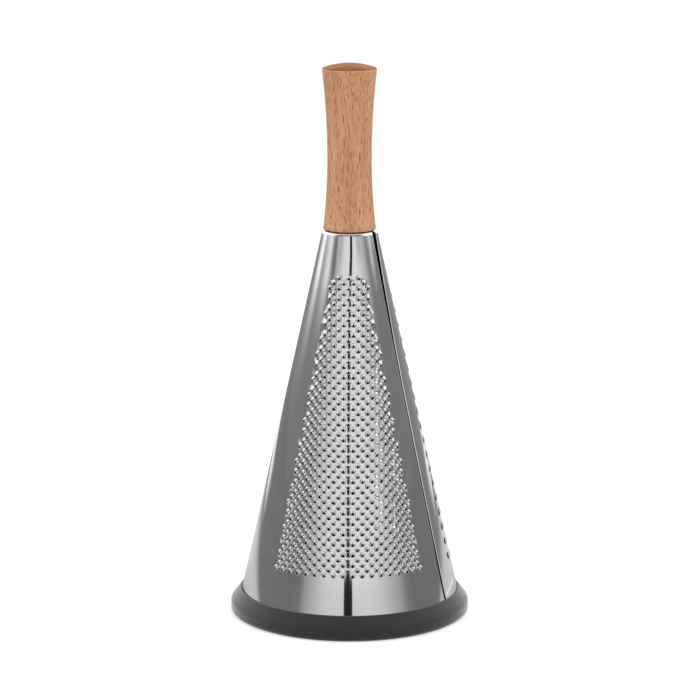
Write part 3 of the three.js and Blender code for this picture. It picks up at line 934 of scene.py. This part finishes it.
class RolledCone:
    """The steel cone. Sheet, burrs and holes have to meet edge to edge and shade as one polished
    surface, so the blank is laid out flat, filled between the punched forms and then rolled up."""

    ARC_STEPS = 8
    LAP_FALL = 0.8  # how the lap runs out over the shoulder

    def __init__(self, sizes):
        self.sizes = sizes
        self.blank = blank = Blank(sizes)
        self.mesh = SheetMesh()
        self.punches = [*blank.burrs(), *blank.coarse_holes(), *blank.slicing_slots()]
        self.feet = [punch.foot_normals(blank) for punch in self.punches]
        rise = blank.top - blank.bottom
        row_count = round(rise / blank.ROW_STEP)
        self.heights = [blank.bottom + rise * k / row_count for k in range(row_count + 1)]
        self.heights[1:1] = [blank.bottom + sizes.lap_fade]
        self.bend_radius = blank.radius(blank.top) - sizes.shoulder_round * math.cos(blank.tilt)
        self.bend_height = blank.top - sizes.shoulder_round * math.sin(blank.tilt)
        parts = [k / self.ARC_STEPS for k in range(self.ARC_STEPS + 1)]
        self.angles = [blank.tilt + (math.pi / 2 - blank.tilt) * part for part in parts]
        self.lap_strengths = [(1 - part) ** self.LAP_FALL for part in parts]

    def piece(self, name):
        border, inner_spots = self.layout()
        outer, outer_rims = self.side(border, inner_spots, 0, outside=True)
        inner, inner_rims = self.side(border, inner_spots, -1, outside=False)
        self.forms(outer_rims, inner_rims)
        outer_arc = self.shoulder(outer["top"], inner["top"])
        self.seam(outer, outer_arc)
        self.skirt(outer["bottom"], inner["bottom"])
        return self.mesh.piece(name)

    def azimuths(self, height, strength):
        """Along the sheet from seam to seam, starting at the broken edge of the outer layer."""
        chamfer = self.sizes.lap_chamfer * strength / self.blank.radius(height)
        columns = self.blank.COLUMNS
        swings = [chamfer, *(2 * math.pi * k / columns for k in range(1, columns + 1))]
        return [self.blank.start(height) + swing for swing in swings]

    def layout(self):
        """The border of the blank, and spots inside it that keep clear of the punched forms."""
        blank = self.blank
        rows = [
            [blank.flat(height, azimuth) for azimuth in self.azimuths(height, blank.fade(height))]
            for height in self.heights
        ]
        border = {
            "bottom": rows[0],
            "right": [row[-1] for row in rows[1:-1]],
            "top": rows[-1],
            "left": [row[0] for row in rows[1:-1]],
        }
        inner_spots = [spot for row in rows[1:-1] for spot in row[1:-1]]
        flat_spots = np.array(inner_spots)
        covered = np.zeros(len(inner_spots), bool)
        for punch in self.punches:
            covered |= punch.covers(flat_spots, blank.MARGIN)
        return border, [spot for spot, hidden in zip(inner_spots, covered) if not hidden]

    def side(self, border, inner_spots, ring, outside):
        """One face of the sheet: its triangles, and the points of its border and its rims."""
        blank = self.blank
        spots = []

        def lay(new_spots):
            first = len(spots)
            spots.extend(new_spots)
            return list(range(first, len(spots)))

        rows = {name: lay(row) for name, row in border.items()}
        round_border = rows["bottom"] + rows["right"] + rows["top"][::-1] + rows["left"][::-1]
        rims = [lay([spot for spot, _ in punch.rings[ring]]) for punch in self.punches]
        lay(inner_spots)

        # Spots of the border that roll up onto another one share its point
        shared = {rows["bottom"][0]: rows["bottom"][-1]}
        if outside:
            places = [blank.outside(spot) for spot in spots]
            normals = [blank.outside_normal(spot) for spot in spots]
            for rim, foot in zip(rims, self.feet):
                normals[rim[0]:rim[-1] + 1] = foot
        else:
            places = [blank.on_cone(*blank.place(spot), -self.sizes.sheet) for spot in spots]
            normals = [-blank.normal(blank.place(spot)[1]) for spot in spots]
            shared[rows["top"][0]] = rows["top"][-1]
            shared.update(zip(rows["left"], rows["right"]))
        points = {k: self.mesh.add(place) for k, place in enumerate(places) if k not in shared}
        points.update({k: points[other] for k, other in shared.items()})
        for a, b, c in filled(spots, round_border, rims):
            order = (a, b, c) if outside else (a, c, b)
            self.mesh.face([points[k] for k in order], [normals[k] for k in order])
        ids = {name: [points[k] for k in row] for name, row in rows.items()}
        return ids, [[points[k] for k in rim] for rim in rims]

    def forms(self, outer_rims, inner_rims):
        """Burrs, lips and blades between the two faces of the sheet."""
        for punch, foot, outer_rim, inner_rim in zip(self.punches, self.feet, outer_rims, inner_rims):
            rows = [outer_rim]
            for ring in punch.rings[1:-1]:
                rows.append([self.mesh.add(self.blank.outside(*spot)) for spot in ring])
            rows.append(inner_rim)
            closed = [row + row[:1] for row in rows]
            self.mesh.band(closed[0], closed[1], foot + foot[:1])
            for lower, upper in zip(closed[1:], closed[2:]):
                self.mesh.band(lower, upper)

    def hoop(self, seam_height, radius, height):
        """A row of points round the axis that closes on itself, starting in line with the seam."""
        row = [
            self.mesh.add(self.blank.level(azimuth) * radius + Vector((0, 0, height)))
            for azimuth in self.azimuths(seam_height, 0.0)[1:]
        ]
        return row[-1:] + row

    def facing(self, seam_height, elevation, strength=0.0):
        """Normals of a row that faces out at an elevation, and that carries the lap with a strength."""
        upright = Vector((0, 0, math.sin(elevation)))
        normals = []
        for azimuth in self.azimuths(seam_height, strength):
            fall = self.blank.lap(seam_height, azimuth, strength)[1] / self.blank.radius(seam_height)
            plain = self.blank.level(azimuth) * math.cos(elevation) + upright
            normals.append((plain + self.blank.across(azimuth) * fall).normalized())
        return normals

    def over_bend(self, angle, lift):
        """Radius and height at an angle of the shoulder, lifted off its outside."""
        reach = self.sizes.shoulder_round + lift
        return self.bend_radius + reach * math.cos(angle), self.bend_height + reach * math.sin(angle)

    def on_shoulder(self, angle, azimuth, lift):
        radius, height = self.over_bend(angle, lift)
        return self.blank.level(azimuth) * radius + Vector((0, 0, height))

    def lapped_row(self, angle, strength):
        """A row of points round the shoulder, open at the seam."""
        row = []
        for azimuth in self.azimuths(self.blank.top, strength):
            lift, _ = self.blank.lap(self.blank.top, azimuth, strength)
            row.append(self.mesh.add(self.on_shoulder(angle, azimuth, lift)))
        return row

    def shoulder(self, outer_top, inner_top):
        """The shoulder, over which the lap runs out, the turned-in top and its underside. Gives back the
        rows of points over the shoulder."""
        mesh = self.mesh
        top = self.blank.top
        sheet = self.sizes.sheet
        laps = list(zip(self.angles, self.lap_strengths))
        outer_arc = [outer_top, *(self.lapped_row(*lap) for lap in laps[1:-1])]
        outer_arc.append(self.hoop(top, self.bend_radius, CONE_TOP))
        inner_arc = [inner_top]
        inner_arc += [self.hoop(top, *self.over_bend(angle, -sheet)) for angle in self.angles[1:]]
        outward = [self.facing(top, *lap) for lap in laps]
        inward = [[-normal for normal in self.facing(top, angle)] for angle in self.angles]
        for k in range(self.ARC_STEPS):
            mesh.band(outer_arc[k], outer_arc[k + 1], outward[k], outward[k + 1])
            mesh.band(inner_arc[k + 1], inner_arc[k], inward[k + 1], inward[k])
        bore = self.sizes.top_radius - self.sizes.top_lip
        top_edge = self.hoop(top, bore, CONE_TOP)
        under_edge = self.hoop(top, bore, CONE_TOP - sheet)
        up = self.facing(top, math.pi / 2)
        down = self.facing(top, -math.pi / 2)
        mesh.band(outer_arc[-1], top_edge, up, up)
        mesh.band(top_edge, under_edge, flat=True)
        mesh.band(under_edge, inner_arc[-1], down, down)
        return outer_arc

    def crack(self, place, height, strength, right_point, left_point):
        """A row of points in under the outer layer, out again and up its edge."""
        gap = self.blank.gap(height)
        gap_inside = 0.25 * gap
        edge = gap + self.sizes.lap_layer - self.sizes.lap_chamfer
        corners = ((1, 0.0), (1, gap_inside), (0, gap), (0, edge))
        if strength == 0:
            return [right_point] * (len(corners) + 2)
        azimuth = self.blank.end(height)
        inward = self.blank.across(azimuth) * self.sizes.lap_depth * strength
        spots = [place(azimuth, lift * strength) + inward * deep for deep, lift in corners]
        return [right_point, *(self.mesh.add(spot) for spot in spots), left_point]

    def seam(self, outer, outer_arc):
        """A crack under the outer layer and then the layer's edge, from the foot to over the shoulder."""
        rows = []
        ends = [outer["bottom"], *zip(outer["left"], outer["right"])]
        for height, row in zip(self.heights[:-1], ends):
            place = partial(self.blank.on_cone, height)
            rows.append(self.crack(place, height, self.blank.fade(height), row[-1], row[0]))
        for angle, strength, row in zip(self.angles, self.lap_strengths, outer_arc):
            place = partial(self.on_shoulder, angle)
            rows.append(self.crack(place, self.blank.top, strength, row[-1], row[0]))
        for lower, upper in zip(rows, rows[1:]):
            self.mesh.band(lower, upper, flat=True)

    def skirt(self, outer_bottom, inner_bottom):
        """The straight skirt that stands in the base ring."""
        bottom = self.blank.bottom
        radius = self.blank.radius(bottom)
        outward = self.facing(bottom, 0.0)
        inward = [-normal for normal in outward]
        inside = self.hoop(bottom, radius - self.sizes.sheet * math.cos(self.blank.tilt), SKIRT_BOTTOM)
        outside = self.hoop(bottom, radius, SKIRT_BOTTOM)
        self.mesh.band(inner_bottom, inside, inward, inward)
        self.mesh.band(inside, outside, flat=True)
        self.mesh.band(outside, outer_bottom, outward, outward)


class GRATER_OT_steel_cone(bpy.types.Operator):
    """Punch the flat blank, roll it into the cone and finish it in polished steel"""

    bl_idname = "grater.steel_cone"
    bl_label = "Steel cone"

    def execute(self, context):
        grater = context.scene.grater
        cone = RolledCone(grater.cone)
        material = polished_steel(grater.finishes, cone.blank)
        finished(cone.piece("steel_cone"), material, "grater", "cone_shell")
        return {"FINISHED"}


class GRATER_OT_beech_handle(bpy.types.Operator):
    """Turn the waisted handle with its domed end and its pilot bore"""

    bl_idname = "grater.beech_handle"
    bl_label = "Beech handle"

    SIDE_STEPS = 36
    DOME_STEPS = 12
    ARC_STEPS = 6
    TURN_STEPS = 96

    def execute(self, context):
        grater = context.scene.grater
        sizes = grater.handle
        rim = HANDLE_TOP - HANDLE_BOTTOM - sizes.dome

        def radius(height):
            below = height < sizes.waist_height
            end = sizes.bottom_radius if below else sizes.top_radius
            span = sizes.waist_height if below else rim - sizes.waist_height
            away = (height - sizes.waist_height) / span
            return sizes.waist_radius + (end - sizes.waist_radius) * away**2

        side = [rim * k / self.SIDE_STEPS for k in range(1, self.SIDE_STEPS)]
        dome = [1 - k / self.DOME_STEPS for k in range(1, self.DOME_STEPS + 1)]
        corners = [
            (0.0, sizes.bore_depth, 0),
            (sizes.bore_radius, sizes.bore_depth, 0),
            (sizes.bore_radius, 0.0, 0),
            (sizes.bottom_radius, 0.0, sizes.bottom_round),
            *((radius(height), height, 0) for height in side),
            (sizes.top_radius, rim, sizes.top_round),
            *((sizes.top_radius * part, rim + sizes.dome * (1 - part * part), 0) for part in dome),
        ]
        outline = [(spot.x, HANDLE_BOTTOM + spot.y) for spot in rounded(corners, self.ARC_STEPS)]
        handle = turned("beech_handle", outline, self.TURN_STEPS)
        finished(handle, oiled_beech(grater.finishes), "grater", "handle")
        return {"FINISHED"}


class GRATER_OT_fixings(bpy.types.Operator):
    """Make the clamp plate and the screw that hold the handle"""

    bl_idname = "grater.fixings"
    bl_label = "Plate and screw"

    PLATE_ARC_STEPS = 4
    PLATE_TURN_STEPS = 64
    SCREW_ARC_STEPS = 6
    SCREW_TURN_STEPS = 48

    # Where a ridge of the thread starts and where it is highest, as shares of the pitch
    RIDGE_FOOT = 0.4
    RIDGE_TOP = 0.7

    def execute(self, context):
        grater = context.scene.grater
        material = plain_steel(grater.finishes)
        plate = self.plate(grater.fixings)
        finished(plate, material, "grater", "clamp_disc")
        screw = self.screw(grater.fixings)
        self.cut_recess(screw, grater.fixings)
        finished(screw, material, "grater", "handle_screw")
        return {"FINISHED"}

    def plate(self, sizes):
        corners = [
            (sizes.plate_bore, PLATE_BOTTOM, sizes.plate_round / 2),
            (PLATE_RADIUS, PLATE_BOTTOM, sizes.plate_round),
            (PLATE_RADIUS, PLATE_TOP, sizes.plate_round / 2),
            (sizes.plate_bore, PLATE_TOP, 0),
        ]
        return turned("clamp_plate", rounded(corners, self.PLATE_ARC_STEPS), self.PLATE_TURN_STEPS)

    def screw(self, sizes):
        """A pan head, a plain neck, and ridges in place of the thread up to the tip."""
        seat = SCREW_BOTTOM + sizes.head_height
        thread_end = SCREW_TIP - sizes.tip
        ridges = int((thread_end - HANDLE_BOTTOM) / sizes.thread_pitch)
        thread = []
        for k in range(ridges):
            foot = HANDLE_BOTTOM + k * sizes.thread_pitch
            thread.append((sizes.core_radius, foot, 0))
            thread.append((sizes.core_radius, foot + sizes.thread_pitch * self.RIDGE_FOOT, 0))
            thread.append((sizes.shank_radius, foot + sizes.thread_pitch * self.RIDGE_TOP, 0))
        corners = [
            (0.0, SCREW_BOTTOM, 0),
            (SCREW_HEAD_RADIUS, SCREW_BOTTOM, sizes.head_round),
            (SCREW_HEAD_RADIUS, seat, 0),
            (sizes.shank_radius, seat, 0),
            (sizes.shank_radius, HANDLE_BOTTOM - sizes.thread_pitch / 2, 0),
            *thread,
            (sizes.core_radius, thread_end, 0),
            (0.0, SCREW_TIP, 0),
        ]
        return turned("pan_head_screw", rounded(corners, self.SCREW_ARC_STEPS), self.SCREW_TURN_STEPS)

    def cut_recess(self, screw, sizes):
        """Cuts the cross recess into the head."""
        bpy.ops.object.select_all(action="DESELECT")
        arm = (sizes.recess_length, sizes.recess_width)
        bars = []
        for width, depth in (arm, arm[::-1]):
            bpy.ops.mesh.primitive_cube_add(size=1.0, location=(0, 0, SCREW_BOTTOM))
            bar = bpy.context.object
            bar.scale = (width, depth, 2 * sizes.recess_depth)
            bars.append(bar)
        for bar in bars:
            cut = screw.modifiers.new("recess", "BOOLEAN")
            cut.operation = "DIFFERENCE"
            cut.solver = "EXACT"
            cut.object = bar
            bpy.context.view_layer.objects.active = screw
            bpy.ops.object.modifier_apply(modifier=cut.name)
        for bar in bars:
            bpy.data.objects.remove(bar)


class GRATER_OT_base_ring(bpy.types.Operator):
    """Turn the soft base ring with the groove for the cone"""

    bl_idname = "grater.base_ring"
    bl_label = "Base ring"

    ARC_STEPS = 8
    TURN_STEPS = 180

    def execute(self, context):
        grater = context.scene.grater
        sizes = grater.ring
        blank = Blank(grater.cone)
        skirt = blank.radius(blank.bottom)
        groove_outside = skirt + CLEARANCE
        groove_inside = skirt - grater.cone.sheet - CLEARANCE
        bore = groove_inside - sizes.lip_width
        lip_top = RING_TOP - sizes.lip_drop
        corners = [
            (bore, RING_BOTTOM, sizes.rim_round),
            (RING_RADIUS, RING_BOTTOM, sizes.foot_round),
            (RING_RADIUS, sizes.wall_height, sizes.wall_round),
            (groove_outside + sizes.rim_width, RING_TOP, sizes.rim_round),
            (groove_outside, RING_TOP, sizes.rim_round / 2),
            (groove_outside, sizes.floor, 0),
            (groove_inside, sizes.floor, 0),
            (groove_inside, lip_top, sizes.rim_round),
            (bore, lip_top, sizes.rim_round),
        ]
        ring = turned("soft_base_ring", rounded(corners, self.ARC_STEPS), self.TURN_STEPS)
        finished(ring, soft_black(grater.finishes), "base", "base_ring")
        return {"FINISHED"}


class GRATER_OT_stage(bpy.types.Operator):
    """Set the camera, the floor, the light and the cards that the steel mirrors"""

    bl_idname = "grater.stage"
    bl_label = "Stage"

    # Brightness of the cards by the turn from the front, in degrees: low down, higher up and overhead
    LOW_CARDS = (
        (-180, 0.30), (-62, 0.25), (-53, 0.28), (-48, 0.47), (-40, 0.66), (-32, 0.84), (-24, 0.95),
        (-15, 0.98), (18, 1.02), (29, 0.95), (38, 0.83), (46, 0.68), (54, 0.53), (62, 0.31), (70, 0.25),
        (112, 0.26), (124, 0.31), (142, 0.36), (165, 0.46), (180, 0.46),
    )
    HIGH_CARDS = (
        (-180, 0.28), (-142, 0.28), (-131, 0.6), (-122, 1.15), (-115, 1.4), (-110, 1.25), (-105, 0.78),
        (-99, 0.45), (-92, 0.58), (-84, 0.85), (-76, 1.05), (-70, 0.95), (-64, 0.5), (-58, 0.27),
        (-51, 0.22), (-43, 0.6), (-28, 0.63), (-20, 0.92), (21, 0.97), (28, 0.66), (48, 0.63), (58, 0.45),
        (68, 0.27), (75, 0.4), (84, 0.76), (95, 0.3), (125, 0.24), (180, 0.24),
    )
    OVERHEAD_CARDS = (
        (-180, 1.5), (-75, 1.5), (-50, 0.2), (50, 0.2), (75, 1.5), (180, 1.5),
    )
    BRIGHTEST = 1.5

    # Heights on the cards between which something starts or ends
    UNDER_BACK = (0.02, 0.035)
    BRIGHT_FOOT = (0.08, 0.1)
    STRIP_FOOT = (0.0945, 0.0965)
    STRIP_SWELL = (0.16, 0.25)
    STRIP_HEAD = (0.28, 0.288)
    STRIP_LEAN = (0.08, 0.298)
    HIGH_UP = (0.2, 0.23)
    OVERHEAD = (0.36, 0.42)

    # Turns from the front between which something starts or ends, as shares of half a turn
    RIGHT = (0.1, 0.3)
    LEFT_EDGE = (0.28, 0.34)
    PAST_LEFT_EDGE = (0.36, 0.42)
    BACK = (0.72, 0.82)
    BACK_GAP = (0.91, 0.93)

    # A streak of light over the floor, on the right behind the grater
    STREAK_LEAN = 0.108
    STREAK_BEHIND = 0.084
    STREAK_HALF = (0.003, 0.008)
    STREAK_START = (0.085, 0.1)
    STREAK_END = (0.185, 0.21)

    WALL_STEPS = 128
    DISC_STEPS = 96
    CARD_LIFT = 0.2 * MM
    FLOOR_MATT = (0.95, 0.95, 0.95, 1.0)

    def execute(self, context):
        stage = context.scene.grater.stage
        context.scene.view_settings.view_transform = "Standard"
        self.camera(context, stage)
        self.world(context, stage)
        self.floor(stage)
        self.lamps(context, stage)
        self.cards(stage)
        self.floor_card(stage)
        return {"FINISHED"}

    def camera(self, context, stage):
        data = bpy.data.cameras.new("photo_camera")
        data.lens = stage.camera_lens
        camera = bpy.data.objects.new("photo_camera", data)
        camera.location = (stage.camera_side, -stage.camera_distance, stage.camera_height)
        camera.rotation_euler = (math.pi / 2 - stage.camera_pitch, 0, 0)
        context.scene.collection.objects.link(camera)
        context.scene.camera = camera

    def seen_directly(self, nodes):
        """1 for rays from the camera and for mirrored or refracted ones, 0 for the rest."""
        path = nodes.node("ShaderNodeLightPath", output="Is Camera Ray")
        for kind in ("Is Glossy Ray", "Is Transmission Ray"):
            path = path.most(nodes.node("ShaderNodeLightPath", output=kind))
        return path

    def shaded(self, name):
        """Names the object just added and gives it a material, and returns it and the nodes."""
        made = bpy.context.object
        made.name = name
        material, nodes = new_material(name)
        made.data.materials.append(material)
        return made, nodes

    def disc(self, name, radius, height):
        bpy.ops.object.select_all(action="DESELECT")
        bpy.ops.mesh.primitive_circle_add(
            vertices=self.DISC_STEPS, radius=radius, fill_type="NGON", location=(0, 0, height)
        )
        return self.shaded(name)

    def past_dark(self, nodes, radius, stage):
        """0 on the floor inside the grater and 1 outside it."""
        return nodes.step(radius, 0.98 * stage.dark_radius, stage.dark_radius)

    def world(self, context, stage):
        world = bpy.data.worlds.new("white_studio")
        context.scene.world = world
        world.use_nodes = True
        nodes = Nodes(world.node_tree)
        light = nodes.node("ShaderNodeBackground", None, {"Strength": stage.ambient, "Color": WHITE})
        nodes.node("ShaderNodeOutputWorld", None, {"Surface": light})

    def floor(self, stage):
        """Matt white, which takes the shadow, mixed with a glow that keeps it white."""
        floor, nodes = self.disc("white_floor", stage.floor_radius, 0.0)
        _, (x, y, _) = nodes.place()
        outside = self.past_dark(nodes, nodes.from_axis(x, y), stage)
        matt = nodes.node("ShaderNodeBsdfDiffuse", None, {"Color": self.FLOOR_MATT})
        white = nodes.glow(WHITE, stage.floor_glow)
        shown = (1 - stage.floor_shade) * self.seen_directly(nodes) * outside
        nodes.surface(nodes.node("ShaderNodeMixShader", None, {0: shown, 1: matt, 2: white}))
        floor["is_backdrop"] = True

    def lamps(self, context, stage):
        """A softbox overhead, and a weaker lamp on either side for the edges of the handle."""
        self.lamp(context, "softbox", stage.softbox_size, stage.softbox_power, 0.0, stage.softbox_height, 0.0)
        for name, side in (("left_lamp", -1), ("right_lamp", 1)):
            self.lamp(
                context, name, stage.side_lamp_size, stage.side_lamp_power,
                side * stage.side_lamp_distance, stage.side_lamp_height, side * math.pi / 2,
            )

    def lamp(self, context, name, size, power, across, height, swing):
        """A square lamp that faces down, swung round towards the axis, and that nothing mirrors."""
        data = bpy.data.lights.new(name, "AREA")
        data.shape = "SQUARE"
        data.size = size
        data.energy = power
        lamp = bpy.data.objects.new(name, data)
        lamp.location = (across, 0.0, height)
        lamp.rotation_euler = (0.0, swing, 0.0)
        lamp.visible_camera = False
        lamp.visible_glossy = False
        context.scene.collection.objects.link(lamp)

    def only_mirrored(self, card):
        """Hides a card from everything but the surfaces that mirror it."""
        card.visible_camera = False
        card.visible_diffuse = False
        card.visible_transmission = False
        card.visible_volume_scatter = False
        card.visible_shadow = False
        card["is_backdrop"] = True

    def cards(self, stage):
        """The ring of cards: grey by turn and height, with a black gap in front and open at the back."""
        bpy.ops.object.select_all(action="DESELECT")
        bpy.ops.mesh.primitive_cylinder_add(
            vertices=self.WALL_STEPS, radius=stage.wall_radius, depth=stage.wall_height,
            end_fill_type="NOTHING", location=(0, 0, stage.wall_height / 2),
        )
        bpy.ops.object.transform_apply(location=True)
        cards, nodes = self.shaded("grey_cards")
        _, (x, y, z) = nodes.place()
        azimuth = x.maths("ARCTAN2", x, -y) / math.pi
        aside = abs(azimuth)
        back = nodes.step(aside, *self.BACK)
        high_up = nodes.step(z, *self.HIGH_UP)
        above = nodes.step(z + 0.25 * aside, *self.OVERHEAD)
        over_foot = nodes.step(z, *self.STRIP_FOOT)

        # The grey of the cards low down, higher up and overhead
        def grey_by_turn(table, bearing):
            stops = [((degrees / 180 + 1) / 2, min(grey / self.BRIGHTEST, 1.0)) for degrees, grey in table]
            return nodes.ramp(0.5 + 0.5 * bearing, *stops)

        low = grey_by_turn(self.LOW_CARDS, azimuth * (1.0 - 0.08 * over_foot))
        high = grey_by_turn(self.HIGH_CARDS, azimuth)
        overhead = grey_by_turn(self.OVERHEAD_CARDS, azimuth)
        right = nodes.step(azimuth, *self.RIGHT)
        left = -azimuth
        left_edge = nodes.step(left, *self.LEFT_EDGE) * (1.0 - nodes.step(left, *self.PAST_LEFT_EDGE))
        fade = 0.302 - 0.37 * aside + 0.065 * right + 0.04 * left_edge
        span = 0.026 + 0.163 * aside - 0.056 * right - 0.04 * left_edge
        part = nodes.step((z - fade) / span, 0.0, 1.0, "LINEAR")
        grey = nodes.blend(part**4.0, low, high)
        grey = nodes.blend(above.most(back * high_up), grey, overhead)

        # The black gap in front, narrower over its foot and leaning at the top
        rise = nodes.step(z, *self.STRIP_LEAN, "LINEAR")
        lean = rise**8.0 * (stage.strip_lean / math.pi)
        narrow = over_foot * (1.0 - nodes.step(z, *self.STRIP_HEAD))
        swell = nodes.step(z, *self.STRIP_SWELL)
        middle = stage.strip_turn / math.pi + lean - 0.001 * narrow
        width = (1.0 - narrow * (0.6 - 0.2 * swell)) * (stage.strip_half / math.pi)
        beside_strip = nodes.step(abs(azimuth - middle) / width + above, 0.94, 1.06)
        strip_dark = 0.026 - 0.016 * over_foot
        bright = 1.0 + 0.17 * nodes.step(z, *self.BRIGHT_FOOT)
        strength = self.BRIGHTEST * (strip_dark + (1.0 - strip_dark) * beside_strip) * bright

        # Open at the back, and under the cards there
        gap = nodes.step(aside, *self.BACK_GAP) * (1.0 - high_up)
        under_card = back * (1.0 - nodes.step(z, *self.UNDER_BACK))
        light = nodes.glow(grey, strength)
        clear = nodes.node("ShaderNodeBsdfTransparent")
        shaders = {0: gap.most(under_card), 1: light, 2: clear}
        nodes.surface(nodes.node("ShaderNodeMixShader", None, shaders))
        self.only_mirrored(cards)

    def floor_card(self, stage):
        """What the steel mirrors of the floor: light near the grater, darker towards the cards."""
        card, nodes = self.disc("floor_card", stage.wall_radius, self.CARD_LIFT)
        _, (x, y, _) = nodes.place()
        radius = nodes.from_axis(x, y)
        near = nodes.step(radius, RING_RADIUS, 3 * RING_RADIUS)
        far = nodes.step(radius, stage.glow_radius, stage.wall_radius)
        from_streak = abs(y + self.STREAK_LEAN * x - self.STREAK_BEHIND)
        along_streak = nodes.step(x, *self.STREAK_START) * (1.0 - nodes.step(x, *self.STREAK_END))
        streak = (1.0 - nodes.step(from_streak, *self.STREAK_HALF)) * along_streak
        strength = (0.6 + 0.26 * near) * (1.0 - far) + 0.3 * far + 0.4 * streak
        nodes.surface(nodes.glow(WHITE, strength * self.past_dark(nodes, radius, stage)))
        self.only_mirrored(card)


class GRATER_PT_sidebar(bpy.types.Panel):
    """Lists what can be built."""

    bl_idname = "GRATER_PT_sidebar"
    bl_label = "Cone grater"
    bl_space_type = "VIEW_3D"
    bl_region_type = "UI"
    bl_category = "Grater"

    def draw(self, context):
        for operator in OPERATORS:
            self.layout.operator(operator.bl_idname)
        for name in ("lap_azimuth", "top_radius", "sheet"):
            self.layout.prop(context.scene.grater.cone, name)


OPERATORS = (
    GRATER_OT_stage,
    GRATER_OT_steel_cone,
    GRATER_OT_beech_handle,
    GRATER_OT_fixings,
    GRATER_OT_base_ring,
)
GROUPS = (
    FineZone,
    CoarseZone,
    SlicingZone,
    ConeSizes,
    HandleSizes,
    RingSizes,
    FixingSizes,
    Finishes,
    StageSettings,
    GraterSettings,
)


def register():
    for made in (*GROUPS, *OPERATORS, GRATER_PT_sidebar):
        bpy.utils.register_class(made)
    bpy.types.Scene.grater = PointerProperty(type=GraterSettings)


def unregister():
    del bpy.types.Scene.grater
    for made in reversed((*GROUPS, *OPERATORS, GRATER_PT_sidebar)):
        bpy.utils.unregister_class(made)


def main():
    register()
    bpy.ops.grater.stage()
    bpy.ops.grater.steel_cone()
    bpy.ops.grater.beech_handle()
    bpy.ops.grater.fixings()
    bpy.ops.grater.base_ring()
    boxes = {"cad": CAD_BOX, "visual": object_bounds()}
    {name: [list(corner) for corner in box] for name, box in boxes.items()}


if __name__ == "__main__":
    main()
